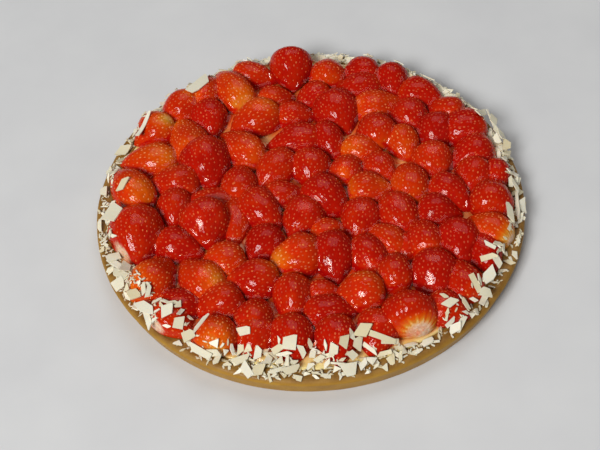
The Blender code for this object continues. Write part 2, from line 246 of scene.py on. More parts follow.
# White chocolate flakes, as the camera sees them on the level plane: x, y, length, width, heading
FLAKES = (
    # Left and front left
    (-128, -5, 15, 13, 60), (-136, -15, 10, 3, 90), (-132, -26, 6, 4, 30), (-129, -22, 5, 3, 100),
    (-134, -32, 5, 3, 40), (-130, -34, 5, 4, 100), (-126, -41, 10, 8, 20), (-124, -47, 14, 5, -45),
    (-118, -49, 12, 7, 80), (-121, -55, 12, 6, -30), (-121, -65, 9, 8, 30), (-116, -67, 6, 4, 60),
    (-109, -63, 5, 3, 70), (-106, -68, 9, 3, 95), (-103, -69, 10, 3, 80), (-112, -71, 9, 8, 10),
    (-115, -76, 6, 4, -30), (-105, -82, 18, 9, -40), (-97, -77, 6, 2, 30), (-104, -94, 14, 5, -75),
    (-111, -81, 6, 4, -60), (-91, -85, 9, 8, 20), (-88, -80, 8, 3, 20), (-84, -82, 6, 4, 50),
    (-83, -87, 5, 5, 0), (-84, -95, 8, 7, 80), (-77, -92, 5, 2, -30), (-91, -97, 5, 3, 10),
    (-71, -96, 16, 4, 42), (-78, -104, 9, 8, 15), (-84, -109, 6, 4, -20), (-84, -113, 4, 2, 40),
    (-78, -109, 7, 4, 80), (-75, -115, 4, 3, 0), (-70, -122, 18, 5, -35),
    # Front
    (-62, -112, 6, 6, 20), (-63, -118, 9, 5, -5), (-56, -119, 4, 4, 45), (-61, -124, 6, 6, 10),
    (-45, -104, 10, 6, -5), (-52, -117, 7, 3, 85), (-47, -117, 7, 5, 75), (-42, -117, 6, 5, 60),
    (-37, -120, 9, 5, 80), (-47, -124, 12, 5, 15), (-55, -126, 6, 3, -10), (-44, -131, 11, 6, -60),
    (-37, -132, 8, 8, 0), (-34, -127, 6, 4, 30), (-24, -112, 5, 2, 85), (-18, -114, 10, 9, 80),
    (-25, -118, 9, 5, 20), (-31, -122, 7, 4, -20), (-22, -122, 12, 2.5, 0), (-24, -127, 6, 5, 45),
    (-20, -127, 7, 3, 80), (-11, -121, 9, 4, -65), (-5, -124, 9, 5, 75), (-1, -127, 8, 4, 15),
    (-3, -123, 7, 4, -35), (1, -126, 7, 3, 60), (-31, -125, 8, 5, 70), (-27, -122, 7, 4, -50),
    (-33, -120, 6, 4, 15), (-6, -116, 6, 4, 80), (-16, -128, 5, 3, 0), (-26, -133, 12, 3, 20),
    (-18, -133, 12, 5, 15), (-28, -136, 4, 3, -30), (-7, -131, 6, 4, 30), (-4, -139, 4, 3, 0),
    (-3, -116, 5, 3, 60), (3, -118, 7, 2.5, 70), (7.5, -121, 8, 6, 80), (14, -116, 8, 6, 80),
    (4, -125, 8, 3, 10), (3, -131, 6, 4, 85), (8, -134, 5, 4, 20), (10, -131, 12, 1.5, -5),
    # Front right
    (26, -109, 10, 9, 50), (19, -112, 7, 5, -30), (22, -118, 9, 6, 80), (37, -115, 19, 4, -20),
    (41, -118, 12, 4, -2), (29, -122, 12, 3, -45), (18, -126, 9, 8, 30), (16, -136, 9, 9, 10),
    (24, -133, 8, 4, 45), (29, -131, 6, 6, 0), (37, -126, 10, 3, 10), (41, -131, 6, 6, 30),
    (46, -129, 8, 2.5, 85), (49, -126, 5, 4, 70), (53, -121, 9, 3, 15), (63, -120, 9, 5, 25),
    (70, -117, 5, 2, 80), (57, -126, 6, 3, 15), (38, -138, 5, 4, 90), (27, -139, 3, 2, 0),
    (77, -88, 5, 4, 0), (80, -93, 10, 6, 35), (87, -90, 6, 3, -50), (89, -95, 9, 3, -50),
    (94, -93, 5, 4, 20), (78, -108, 9, 3, 45), (80, -113, 9, 6, 20), (84, -110, 12, 4, 60),
    (77, -101, 4, 3, 40), (91, -106, 4, 4, 0), (94, -103, 5, 4, 40), (98, -103, 3, 3, 0),
    # Right
    (97, -80, 14, 4, -65), (106, -75, 18, 11, 80), (102.5, -87, 9, 7, -10), (100, -93, 9, 4, 60),
    (108, -61, 12, 4, 8), (110, -52, 9, 3, -30), (115, -51, 8, 3, 5), (118, -55, 8, 2, 80),
    (113, -65, 8, 5, -60), (120, -66, 6, 5, 10), (124, -61, 6, 4, 80), (127, -53, 3, 2, 60),
    (127, -26, 18, 5, 85), (132.5, -20, 28, 3, 85), (131, -2, 10, 3, 85), (137, -19, 12, 5, 90),
    (135, -1, 6, 4, 40), (133, -43, 7, 1.5, 80), (127, 57, 18, 1.5, -80), (129, 44, 7, 5, 80),
    (128, 36, 8, 5, 100), (130, 29, 7, 5, 60), (134, 27, 6, 5, 70), (127.5, 22, 8, 3, 80),
    (131, 19, 6, 4, 40), (135, 15, 5, 4, 100), (132, 8, 5, 3.5, 20), (136, 7, 9, 3.5, 115),
    (134, -4, 11, 4, 125), (137, -6, 6, 5, 40), (136, -17, 8, 7, 70), (131, 52, 10, 6, 75),
    (132, 40, 9, 6, 100), (134, 31, 9, 6, 80),
    # Back left
    (-72, 109, 22, 9.8, 48), (-80, 116, 8, 5, 80), (-110, 72, 24, 3.5, 65), (-116, 67, 6, 5, 50),
    (-112, 84, 5, 4, 60), (-124, 54, 10, 9, 60), (-122.5, 19, 12, 5.5, 52), (-132.5, 25, 7, 2, 80),
    (-125, 41, 8, 5, 50), (-132, 35, 7, 4, 70), (-135, 14, 8, 5, 90), (-128, 2, 6, 4, 20),
)

# Runs of the rim strewn with more flakes: first and last heading, inner and outer radius, how
# many, size
STREWN = (
    (196, 262, 124, 138, 280, 1.0), (262, 300, 125, 138, 115, 1.0), (300, 340, 127, 138, 70, 1.0),
    (340, 370, 130, 138, 90, 1.1), (170, 212, 129, 138, 190, 0.8), (10, 60, 131, 138, 180, 1.6),
    (60, 112, 131, 138, 240, 1.6), (112, 170, 131, 138, 110, 1.3),
)

# Places kept free of the strewn flakes: x, y, reach
BARE_PLACES = ((54, -100, 18), (-88, -95, 8), (-62, -101, 13))

# Runs of the rim where flakes stand up behind the strawberries: first and last heading, how many
STANDING = ((12, 62, 75), (62, 108, 70), (108, 150, 40))


def put_in_scene(name, data):
    thing = bpy.data.objects.new(name, data)
    bpy.context.scene.collection.objects.link(thing)
    return thing


def new_mesh(name, points, faces, material, smooth=True):
    """A mesh object from points in millimetres."""
    mesh = bpy.data.meshes.new(name)
    mesh.from_pydata((np.asarray(points, dtype=float) * MM).tolist(), [], faces)
    mesh.materials.append(material)
    mesh.polygons.foreach_set("use_smooth", [smooth] * len(mesh.polygons))
    mesh.update()
    return put_in_scene(name, mesh)


def point_values(thing, name, values):
    layer = thing.data.attributes.new(name, "FLOAT", "POINT")
    layer.data.foreach_set("value", np.asarray(values, dtype=np.float32))


class Shader:
    """Short calls for a material's nodes; in names of inputs, _ stands for a space."""

    def __init__(self, name):
        self.material = bpy.data.materials.new(name)
        self.material.use_nodes = True
        self.nodes = self.material.node_tree.nodes
        self.links = self.material.node_tree.links
        self.surface = self.nodes["Principled BSDF"]

    def feed(self, socket, value):
        """Links a node's output to the socket, or sets a plain value on it."""
        if isinstance(value, bpy.types.NodeSocket):
            self.links.new(value, socket)
        else:
            socket.default_value = value

    def fill(self, node, inputs):
        for name, value in inputs.items():
            self.feed(node.inputs[name.replace("_", " ")], value)
        return node

    def node(self, kind, **inputs):
        return self.fill(self.nodes.new("ShaderNode" + kind), inputs)

    def dress(self, **inputs):
        """Fills the surface's own inputs, and gives the material."""
        self.fill(self.surface, inputs)
        return self.material

    def noise(self, size, detail=3.0, roughness=0.5):
        """Noise with features about size millimetres across, in the object's own coordinates."""
        made = self.node(
            "TexNoise",
            Vector=self.node("TexCoord").outputs["Object"],
            Scale=1.0 / (size * MM),
            Detail=detail,
            Roughness=roughness,
        )
        return made.outputs["Fac"]

    def ramp(self, value, *stops):
        """A colour ramp through (position, colour) stops."""
        made = self.node("ValToRGB", Fac=value)
        ramp = made.color_ramp
        while len(ramp.elements) < len(stops):
            ramp.elements.new(0.5)
        for element, (position, colour) in zip(ramp.elements, stops):
            element.position = position
            element.color = (*colour, 1.0)
        return made.outputs["Color"]

    def math(self, operation, first, second):
        made = self.node("Math")
        made.operation = operation
        for socket, value in zip(made.inputs, (first, second)):
            self.feed(socket, value)
        return made.outputs["Value"]

    def uneven(self, value, spread):
        """A value between 0 and 1 as one that lies evenly about 0."""
        return self.math("MULTIPLY", self.math("SUBTRACT", value, 0.5), spread)

    def mix(self, share, first, second):
        """A mix of two colours, each a node's output or plain numbers."""
        made = self.node("Mix")
        made.data_type = "RGBA"
        sockets = {socket.identifier: socket for socket in made.inputs}
        self.feed(sockets["Factor_Float"], share)
        for name, colour in (("A_Color", first), ("B_Color", second)):
            self.feed(sockets[name], (*colour, 1.0) if isinstance(colour, tuple) else colour)
        return next(socket for socket in made.outputs if socket.identifier == "Result_Color")

    def attribute(self, name):
        made = self.node("Attribute")
        made.attribute_name = name
        return made.outputs["Fac"]

    def bump(self, height, depth):
        """Relief as deep as depth millimetres."""
        made = self.node("Bump", Height=height, Distance=depth * MM, Strength=1.0)
        return made.outputs["Normal"]


def strawberry_material():
    """Red to orange skin by its paleness, paler flesh on a cut, under a wet coat."""
    shader = Shader("glazed strawberry skin")
    blotches = shader.uneven(shader.noise(7.0), 0.30)
    ripeness = shader.math("ADD", shader.attribute("paleness"), blotches)
    skin = shader.ramp(
        ripeness,
        (0.00, (0.22, 0.001, 0.0004)),
        (0.30, (0.41, 0.006, 0.0006)),
        (0.50, (0.53, 0.026, 0.0008)),
        (0.72, (0.64, 0.090, 0.002)),
        (0.90, (0.62, 0.230, 0.018)),
        (1.00, (0.78, 0.400, 0.100)),
    )
    streaks = shader.noise(1.6, detail=2.0)
    flesh = shader.ramp(streaks, (0.35, (0.62, 0.33, 0.20)), (0.60, (0.72, 0.50, 0.35)))
    return shader.dress(
        Base_Color=shader.mix(shader.attribute("cut"), skin, flesh),
        Normal=shader.bump(streaks, 0.09),
        Coat_Normal=shader.bump(shader.noise(3.2, detail=1.5), 0.16),
        Roughness=0.4,
        Specular_IOR_Level=0.0,
        Coat_Weight=0.75,
        Coat_Roughness=0.10,
        Coat_IOR=1.30,
        Subsurface_Weight=0.25,
        Subsurface_Scale=0.003,
        Subsurface_Radius=(1.0, 0.25, 0.10),
    )


def seed_material():
    """Each seed a little lighter than the skin round it."""
    shader = Shader("strawberry seeds")
    chance = shader.node("NewGeometry").outputs["Random Per Island"]
    colour = shader.ramp(
        shader.math("ADD", shader.attribute("paleness"), shader.uneven(chance, 0.35)),
        (0.10, (0.43, 0.030, 0.010)),
        (0.35, (0.54, 0.066, 0.022)),
        (0.60, (0.70, 0.165, 0.040)),
        (1.00, (0.86, 0.460, 0.160)),
    )
    return shader.dress(Base_Color=colour, Roughness=0.6, Specular_IOR_Level=0.15)


def glaze_material():
    """Clear set glaze: redder where it is thick, with a bright shine at flat angles."""
    shader = Shader("clear glaze")
    tint = shader.mix(shader.attribute("depth"), (1.0, 0.95, 0.91), (0.92, 0.28, 0.14))
    ripple = shader.bump(shader.noise(2.6, detail=2.0), 0.06)
    clear = shader.node("BsdfTransparent", Color=tint)
    shine = shader.node(
        "BsdfAnisotropic", Color=(1.0, 0.88, 0.80, 1.0), Roughness=0.09, Normal=ripple
    )
    edge = shader.node("Fresnel", IOR=1.28, Normal=ripple).outputs["Fac"]
    shadow = shader.node("LightPath").outputs["Is Shadow Ray"]
    share = shader.math("MULTIPLY", edge, shader.math("SUBTRACT", 1.0, shadow))
    both = shader.node("MixShader", Fac=share)
    shader.feed(both.inputs[1], clear.outputs["BSDF"])
    shader.feed(both.inputs[2], shine.outputs["BSDF"])
    shader.feed(shader.nodes["Material Output"].inputs["Surface"], both.outputs["Shader"])
    shader.nodes.remove(shader.surface)
    return shader.material


def cream_material():
    """Pale yellow, with painted red shade in the narrow gaps between the strawberries."""
    shader = Shader("custard cream")
    colour = shader.ramp(shader.noise(9.0), (0.3, (0.78, 0.6, 0.2)), (0.7, (0.9, 0.76, 0.34)))
    return shader.dress(
        # Painted shade: in narrow gaps the cream turns this darker orange red, standing in for dim
        # light bounced off the strawberries
        Base_Color=shader.mix(shader.attribute("gap_shade"), colour, (0.72, 0.26, 0.06)),
        Normal=shader.bump(shader.noise(2.0), 0.15),
        Roughness=0.3,
        Coat_Weight=0.6,
        Coat_Roughness=0.1,
    )


def crust_material():
    """Golden side, and a browner glazed ledge; the share of ledge is kept on the points."""
    shader = Shader("shortcrust")
    side = shader.ramp(
        shader.noise(14.0, detail=6.0, roughness=0.65),
        (0.30, (0.31, 0.150, 0.014)),
        (0.55, (0.39, 0.200, 0.020)),
        (0.75, (0.46, 0.260, 0.034)),
    )
    ledge = shader.ramp(
        shader.noise(10.0, detail=6.0, roughness=0.7),
        (0.30, (0.17, 0.072, 0.010)),
        (0.60, (0.29, 0.145, 0.028)),
        (0.80, (0.40, 0.225, 0.052)),
    )
    return shader.dress(
        Base_Color=shader.mix(shader.attribute("ledge"), side, ledge),
        Normal=shader.bump(shader.noise(0.9, detail=5.0, roughness=0.7), 0.16),
        Roughness=0.55,
        Specular_IOR_Level=0.2,
        Coat_Weight=0.12,
        Coat_Roughness=0.15,
        Coat_IOR=1.35,
    )


def chocolate_material():
    """Ivory flakes, each a little lighter or yellower than the next."""
    shader = Shader("white chocolate")
    colour = shader.ramp(
        shader.node("NewGeometry").outputs["Random Per Island"],
        (0.0, (0.64, 0.55, 0.34)),
        (0.4, (0.71, 0.655, 0.48)),
        (1.0, (0.77, 0.725, 0.58)),
    )
    return shader.dress(
        Base_Color=colour,
        Normal=shader.bump(shader.noise(1.5, detail=4.0), 0.06),
        Roughness=0.45,
        Subsurface_Weight=0.2,
        Subsurface_Scale=0.001,
        Subsurface_Radius=(1.0, 0.8, 0.5),
    )


def girth_at(along):
    """Share of a strawberry's full width at a share of its length, from shoulder to tip."""
    inside = np.clip(along, 0.0, 1.0)
    return np.sin(np.pi * inside**SHOULDER_SHARE) ** (BERRY_FULLNESS + TIP_TAPER * inside)


def rotated(x, y, heading):
    turn = math.radians(heading)
    return x * math.cos(turn) - y * math.sin(turn), x * math.sin(turn) + y * math.cos(turn)


class Heights:
    """Height of the top surface on a square grid, in millimetres."""

    def __init__(self, step, reach):
        self.step = step
        self.reach = reach
        side = np.arange(-reach, reach + step / 2, step)
        self.x, self.y = np.meshgrid(side, side, indexing="ij")
        self.z = np.zeros_like(self.x)

    def lay_crust(self):
        radius = np.hypot(self.x, self.y)
        self.z = np.where(radius < RIM_RADIUS, LEDGE_TOP, 0.0)
        self.z = np.where(radius < CREAM_RADIUS, CREAM_TOP, self.z)

    def lay_berries(self):
        for x, y, heading, length, width, height, _ in BERRIES:
            ahead, aside = rotated(self.x - x, self.y - y, -heading)
            girth = girth_at(ahead / length + 0.5)
            across = 2.0 * aside / np.maximum(girth * width, 1e-6)
            raised = max(0.0, height - width / 2)
            dome = np.sqrt(np.clip(1.0 - across**2, 0.0, 1.0))
            top = BERRY_FLOOR + girth * (raised + (height - raised) * dome)
            inside = (np.abs(across) < 1.0) & (girth > 0.0)
            self.z = np.where(inside, np.maximum(self.z, top), self.z)

    def cell(self, x, y):
        """Row and column of the grid at the places given."""
        return tuple(
            np.clip(np.rint((np.asarray(side) + self.reach) / self.step).astype(int), 0, last - 1)
            for side, last in zip((x, y), self.z.shape)
        )

    def at(self, x, y):
        return self.z[self.cell(x, y)]

    def pile(self, x, y, z, thickness):
        """Raises the surface to a layer that lies on z at the places given."""
        np.maximum.at(self.z, self.cell(x, y), z + thickness)

    def rolled(self, radius):
        """The surface with every valley filled that a ball of this radius can't enter."""
        reach = int(radius / self.step)
        offsets = [
            (i, j, math.sqrt(radius**2 - (i * i + j * j) * self.step**2))
            for i in range(-reach, reach + 1)
            for j in range(-reach, reach + 1)
            if (i * i + j * j) * self.step**2 < radius**2
        ]
        raised = np.full_like(self.z, -1e9)
        for i, j, lift in offsets:
            raised = np.maximum(raised, np.roll(self.z, (i, j), (0, 1)) + lift)
        settled = np.full_like(self.z, 1e9)
        for i, j, lift in offsets:
            settled = np.minimum(settled, np.roll(raised, (i, j), (0, 1)) - lift)
        return settled


def camera_axes():
    """The camera's place in millimetres, and its right, up and back directions."""
    rise, roll = math.radians(CAMERA_ELEVATION), math.radians(CAMERA_ROLL)
    back = Vector((0.0, -math.cos(rise), math.sin(rise)))
    right = Vector((1.0, 0.0, 0.0))
    up = back.cross(right)
    turned_right = right * math.cos(roll) + up * math.sin(roll)
    turned_up = up * math.cos(roll) - right * math.sin(roll)
    return Vector((*CAMERA_AIM, 0.0)) + back * CAMERA_DISTANCE, turned_right, turned_up, back


def sight_point(x, y, z):
    """The point at height z on the line from the camera to (x, y) on the level plane."""
    eye = camera_axes()[0]
    share = (z - SIGHT_LEVEL) / (eye.z - SIGHT_LEVEL)
    return x + share * (eye.x - x), y + share * (eye.y - y)


def smooth_noise(points, depth, size, seed):
    """Gentle noise between -depth and depth, made of a few waves about size across."""
    draw = np.random.default_rng(seed)
    waves = 6
    total = np.zeros(len(points))
    for _ in range(waves):
        direction = draw.normal(size=3)
        direction *= math.tau / (size * draw.uniform(0.8, 1.6) * np.linalg.norm(direction))
        total += np.sin(points @ direction + draw.uniform(0, math.tau))
    return depth * (total / waves)


def direction_of(heading, rise):
    """The unit direction with a heading, and a rise above the level, in degrees."""
    turn, climb = math.radians(heading), math.radians(rise)
    level = math.cos(climb)
    return np.array([math.cos(turn) * level, math.sin(turn) * level, math.sin(climb)])


class Strawberry:
    """One strawberry: its skin and seeds in the flan's own coordinates, and what colours them."""

    def __init__(self, row, number):
        self.x, self.y, self.heading, self.length, self.width, self.height, paleness = row
        self.number = number
        self.raised = max(0.0, self.height - self.width / 2)
        self.dome = self.height - self.raised
        self.draw = np.random.default_rng(SEED + number)
        self.rings = max(10, round(self.length * OUTLINE_SHARE / BERRY_STEP))
        self.around = max(12, round(math.pi * GIRTH_SHARE * self.width / BERRY_STEP))
        along = (1.0 - np.cos(np.pi * (np.arange(1, self.rings) / self.rings))) / 2
        turn = np.radians(np.linspace(-SKIRT_ANGLE, 180.0 + SKIRT_ANGLE, self.around))
        grid = np.meshgrid(along, turn, indexing="ij")
        self.along = grid[0].reshape(-1)
        self.points = self.surface(*grid).reshape(-1, 3)
        self.normals = self.facing(*grid)[1].reshape(-1, 3)
        seeds = self.seed_places()
        self.seed_points = self.surface(*seeds)
        self.seed_ahead, self.seed_normals = self.facing(*seeds)
        self.add_relief()
        self.pale = np.full(len(self.points), paleness / 100)
        self.cut = np.zeros(len(self.points))
        self.ripen()
        self.cut_flat()
        self.show_hulled_end()
        self.close()

    def surface(self, along, turn):
        """Points at shares of the length, from shoulder to tip, and turns round it."""
        girth = girth_at(along)
        up = np.maximum(0.0, girth * (self.raised + self.dome * np.sin(turn)))
        ahead, aside = (along - 0.5) * self.length, girth * self.width / 2 * np.cos(turn)
        side_x, side_y = rotated(ahead, aside, self.heading)
        return np.stack([self.x + side_x, self.y + side_y, BERRY_FLOOR + up], axis=-1)

    def facing(self, along, turn):
        """The way to the tip along the skin, and the skin's outward normal, at those places."""
        nearer = self.surface(np.clip(along - SLOPE_STEP, 0, 1), turn)
        ahead = self.surface(np.clip(along + SLOPE_STEP, 0, 1), turn) - nearer
        aside = self.surface(along, turn + SLOPE_STEP) - self.surface(along, turn - SLOPE_STEP)
        normals = np.cross(aside, ahead)
        normals /= np.maximum(np.linalg.norm(normals, axis=-1, keepdims=True), 1e-9)
        return ahead, normals

    def seed_places(self):
        """Seeds in staggered rows: their shares of the length, and their turns."""
        seeds = []
        along = 0.5 * SEED_SPACING / self.length
        odd = 0
        while along < 1.0:
            span = math.pi * float(girth_at(along)) * (self.width / 2 + self.dome) / 2
            count = max(1, round(span / SEED_SPACING))
            for k in range(count + odd):
                share = (k + 0.5 * (1 - odd)) / count
                turn = math.pi * share + self.draw.normal(0, SEED_TURN_STRAY)
                if -SEED_TURN_PAST < turn < math.pi + SEED_TURN_PAST:
                    stray = self.draw.normal(0, SEED_STRAY) * SEED_SPACING / self.length
                    seeds.append((along + stray, turn))
            along += SEED_ROW_SHARE * SEED_SPACING / self.length
            odd = 1 - odd
        seeds = np.array(seeds)
        return seeds[np.abs(seeds[:, 0] - 0.5) < 0.5 - SEED_END_SHARE].T

    def seeds_away(self):
        """Distance from each point to each seed."""
        return np.linalg.norm(self.points[:, None, :] - self.seed_points[None, :, :], axis=-1)

    def add_relief(self):
        """Lumps all over, and a dimple round each seed."""
        lump = LUMP_SHARE * min(self.length, self.width), LUMP_SPACING, SEED + self.number
        lumps = smooth_noise(self.points, *lump)
        seed_lumps = smooth_noise(self.seed_points, *lump)
        dimple = np.exp(-((self.seeds_away() / DIMPLE_WIDTH) ** 2)).sum(axis=1)
        rise = lumps - DIMPLE_DEPTH * np.minimum(dimple, 1.0) + DIMPLE_DEPTH * DIMPLE_RAISE
        self.points += self.normals * rise[:, None]
        seed_rise = seed_lumps - DIMPLE_DEPTH * SEED_SINK
        self.seed_points += self.seed_normals * seed_rise[:, None]

    def ripen(self):
        """Pale patches, and a paler shoulder."""
        for x, y, radius, percent in PALE_PATCHES:
            if math.hypot(x - self.x, y - self.y) <= PATCH_REACH * self.length:
                away = np.hypot(self.points[:, 0] - x, self.points[:, 1] - y) / radius
                self.pale += percent / 100 * np.exp(-(away**2) * PATCH_FALL)
        shoulder = np.exp(-((self.along / SHOULDER_REACH) ** 2))
        self.pale += SHOULDER_PALENESS * shoulder * self.draw.uniform(0.2, 1.0)

    def marks(self, table):
        """The rest of each row of the table whose place is this strawberry's."""
        return [row[1:] for row in table if math.dist(row[0], (self.x, self.y)) <= MARK_REACH]

    def keep_seeds(self, kept):
        self.seed_points = self.seed_points[kept]
        self.seed_normals = self.seed_normals[kept]
        self.seed_ahead = self.seed_ahead[kept]

    def cut_flat(self):
        """Presses what lies beyond a cut back to it, without seeds on the cut."""
        for heading, rise, distance in self.marks(CUT_FACES):
            direction = direction_of(heading, rise)
            middle = np.array([self.x, self.y, BERRY_FLOOR + self.height * CUT_HEIGHT])
            beyond = (self.points - middle) @ direction - distance
            self.points -= np.maximum(beyond, 0.0)[:, None] * direction
            self.cut = np.clip(beyond / CUT_BLEND, 0.0, 1.0)
            seed_beyond = (self.seed_points - middle) @ direction - distance
            self.keep_seeds(seed_beyond < -CUT_SEED_MARGIN)

    def show_hulled_end(self):
        """Pale flesh at an end, with streaks that run out over the skin."""
        for heading, rise, flesh, streaked in self.marks(PALE_ENDS):
            direction = direction_of(heading, rise)
            foot = [self.x, self.y, BERRY_FLOOR + HULL_HEIGHT]
            centre = self.points[((self.points - foot) @ direction).argmax()]
            sideways = np.cross(direction, [0.0, 0.0, 1.0])
            from_centre = self.points - centre
            angle = np.arctan2(from_centre[:, 2], from_centre @ sideways)
            ray = 0.5 + 0.3 * np.sin(17 * angle + self.number) + 0.2 * np.sin(31 * angle)
            away = np.linalg.norm(from_centre, axis=1)
            fade = np.clip((streaked - away) / (streaked - flesh), 0.0, 1.0)
            streak = np.clip(fade * (0.55 + 0.9 * ray), 0.0, 1.0)
            self.pale += (1.0 - self.pale) * streak
            bare = np.clip((flesh + HULL_RAGGED * ray - away) / HULL_BLEND, 0.0, 1.0)
            self.cut = np.maximum(self.cut, bare)
            seed_away = np.linalg.norm(self.seed_points - centre, axis=1)
            self.keep_seeds(seed_away > HULL_BARE_SHARE * streaked)

    def close(self):
        """Adds the point at the shoulder and the one at the tip, and joins all in faces."""
        shoulder, tip = len(self.points), len(self.points) + 1
        ends = self.surface(np.array([0.0, 1.0]), np.full(2, math.pi / 2))
        self.points = np.vstack([self.points, ends])
        self.pale = np.append(self.pale, [self.pale[0], self.pale[-1]])
        self.cut = np.append(self.cut, [0.0, 0.0])
        self.faces = []
        for i in range(self.rings - 2):
            for j in range(self.around - 1):
                a = i * self.around + j
                self.faces.append((a, a + 1, a + self.around + 1, a + self.around))
        last = (self.rings - 2) * self.around
        for j in range(self.around - 1):
            self.faces.append((shoulder, j + 1, j))
            self.faces.append((tip, last + j, last + j + 1))
        self.seed_pale = self.pale[self.seeds_away().argmin(axis=0)]


def seed_shape():
    """A flat oval dome around the origin, long in X, with its faces."""
    points = [(0.0, 0.0, 0.5)]
    for level, size in ((0.3, 0.72), (0.0, 1.0)):
        for k in range(SEED_SIDES):
            turn = math.tau * k / SEED_SIDES
            points.append((size * math.cos(turn) / 2, size * math.sin(turn) / 2, level))
    sides = [(1 + k, 1 + (k + 1) % SEED_SIDES) for k in range(SEED_SIDES)]
    faces = [(0, a, b) for a, b in sides]
    faces += [(a, a + SEED_SIDES, b + SEED_SIDES, b) for a, b in sides]
    scale = np.array([SEED_LENGTH, SEED_WIDTH, 2 * SEED_HEIGHT])
    return np.array(points) * scale, faces


def join_up(name, parts, material, smooth=True):
    """One object from (points, faces) parts."""
    points = np.vstack([part[0] for part in parts])
    faces = []
    start = 0
    for part_points, part_faces in parts:
        faces.extend(tuple(index + start for index in face) for face in part_faces)
        start += len(part_points)
    return new_mesh(name, points, faces, material, smooth)


def make_strawberries():
    """The strawberries in two pieces, back and front, and all their seeds in one."""
    skin = strawberry_material()
    seed_points, seed_faces = seed_shape()
    halves = {"back": [], "front": []}
    seeds, seed_pale = [], []
    for number, row in enumerate(BERRIES):
        berry = Strawberry(row, number)
        halves["back" if berry.y > BACK_LINE else "front"].append(berry)
        draw = np.random.default_rng(SEED + 500 + number)
        for place, up, ahead in zip(berry.seed_points, berry.seed_normals, berry.seed_ahead):
            ahead = ahead / max(np.linalg.norm(ahead), 1e-9)
            axes = np.stack([ahead, np.cross(up, ahead), up])
            seeds.append((place + (seed_points * draw.uniform(0.8, 1.1)) @ axes, seed_faces))
        seed_pale.append(np.repeat(berry.seed_pale, len(seed_points)))
    made = []
    for half, berries in halves.items():
        name = "strawberries_" + half
        piece = join_up(name, [(berry.points, berry.faces) for berry in berries], skin)
        point_values(piece, "paleness", np.concatenate([berry.pale for berry in berries]))
        point_values(piece, "cut", np.concatenate([berry.cut for berry in berries]))
        made.append(piece)
    made.append(join_up("strawberry_seeds", seeds, seed_material()))
    point_values(made[-1], "paleness", np.concatenate(seed_pale))
    return made


def make_glaze(heights):
    """Glaze that fills the valleys between the strawberries, and a shallow pool over the cream."""
    surface = Heights(heights.step, heights.reach)
    radius = np.hypot(surface.x, surface.y)
    inside = radius < GLAZE_RADIUS
    level = np.stack([surface.x.ravel(), surface.y.ravel(), surface.z.ravel()], axis=1)
    waves = smooth_noise(level, *GLAZE_WAVES, SEED)
    pool = GLAZE_LEVEL + waves.reshape(surface.x.shape)
    edge = np.clip((GLAZE_RADIUS - radius) / GLAZE_EDGE, 0.0, 1.0)
    pool = CREAM_TOP - GLAZE_FOOT + (pool - CREAM_TOP + GLAZE_FOOT) * np.sqrt(edge)
    surface.z = np.maximum(heights.z, np.where(inside, pool, 0.0))
    filled = surface.rolled(FILLET_BALL)
    for _ in range(FILM_SMOOTHINGS):
        sides = ((1, 0), (-1, 0), (1, 1), (-1, 1))
        near = sum(np.roll(filled, shift, axis) for shift, axis in sides)
        filled = 0.5 * filled + 0.125 * near
    film = filled - FILM_SINK
    shown = (film > heights.z - FILM_MARGIN) & inside
    cell = np.any([shown[corner] for corner in CORNERS], axis=0)
    cell &= np.all([inside[corner] for corner in CORNERS], axis=0)
    used = np.zeros(shown.shape, dtype=bool)
    for corner in CORNERS:
        used[corner] |= cell
    index = -np.ones(shown.shape, dtype=int)
    index[used] = np.arange(used.sum())
    points = np.stack([surface.x[used], surface.y[used], film[used]], axis=1)
    faces = np.stack([index[corner][cell] for corner in CORNERS], axis=1).tolist()
    glaze = new_mesh("glaze", points, faces, glaze_material())
    thickness = film[used] - heights.z[used]
    depth = np.clip((thickness - THIN_GLAZE) / (THICK_GLAZE - THIN_GLAZE), 0.0, 1.0)
    point_values(glaze, "depth", depth)
    return glaze


def turned_round(profile, around):
    """Rings of points, one for each (radius, height) of the profile."""
    points = []
    for radius, height in profile:
        for k in range(around):
            turn = math.tau * k / around
            points.append((radius * math.cos(turn), radius * math.sin(turn), height))
    return np.array(points)


def faces_round(rings, around):
    """Faces between each ring of points and the one before it."""
    faces = []
    for start in range(around, rings * around, around):
        for k in range(around):
            a, b = start + k, start + (k + 1) % around
            faces.append((a - around, a, b, b - around))
    return faces


def make_cream(heights):
    """Cream spread unevenly under the strawberries, down to the floor of the crust."""
    radii = [0.0, *np.linspace(CREAM_CORE, CREAM_RADIUS - CREAM_EDGE, CREAM_RINGS)]
    profile = [(radius, CREAM_TOP) for radius in radii] + [(CREAM_RADIUS, CREAM_TOP - CREAM_EDGE)]
    points = turned_round(profile, CREAM_STEPS)
    points[:, 2] += smooth_noise(points, *CREAM_WAVES, SEED + 3)
    floor = points[-CREAM_STEPS:].copy()
    floor[:, 2] = CREAM_FLOOR + FIT_GAP
    points = np.vstack([points, floor])
    faces = faces_round(len(profile) + 1, CREAM_STEPS)
    cream = new_mesh("cream_filling", points, faces, cream_material())
    # Painted shade: the cream is shaded red by how high the filled valley stands over it, so deep
    # narrow gaps are darkest
    filled = heights.rolled(FILLET_BALL)[heights.cell(points[:, 0], points[:, 1])]
    point_values(cream, "gap_shade", np.clip((filled - CREAM_TOP) / GAP_SHADE_DEPTH, 0.0, 1.0))
    return cream


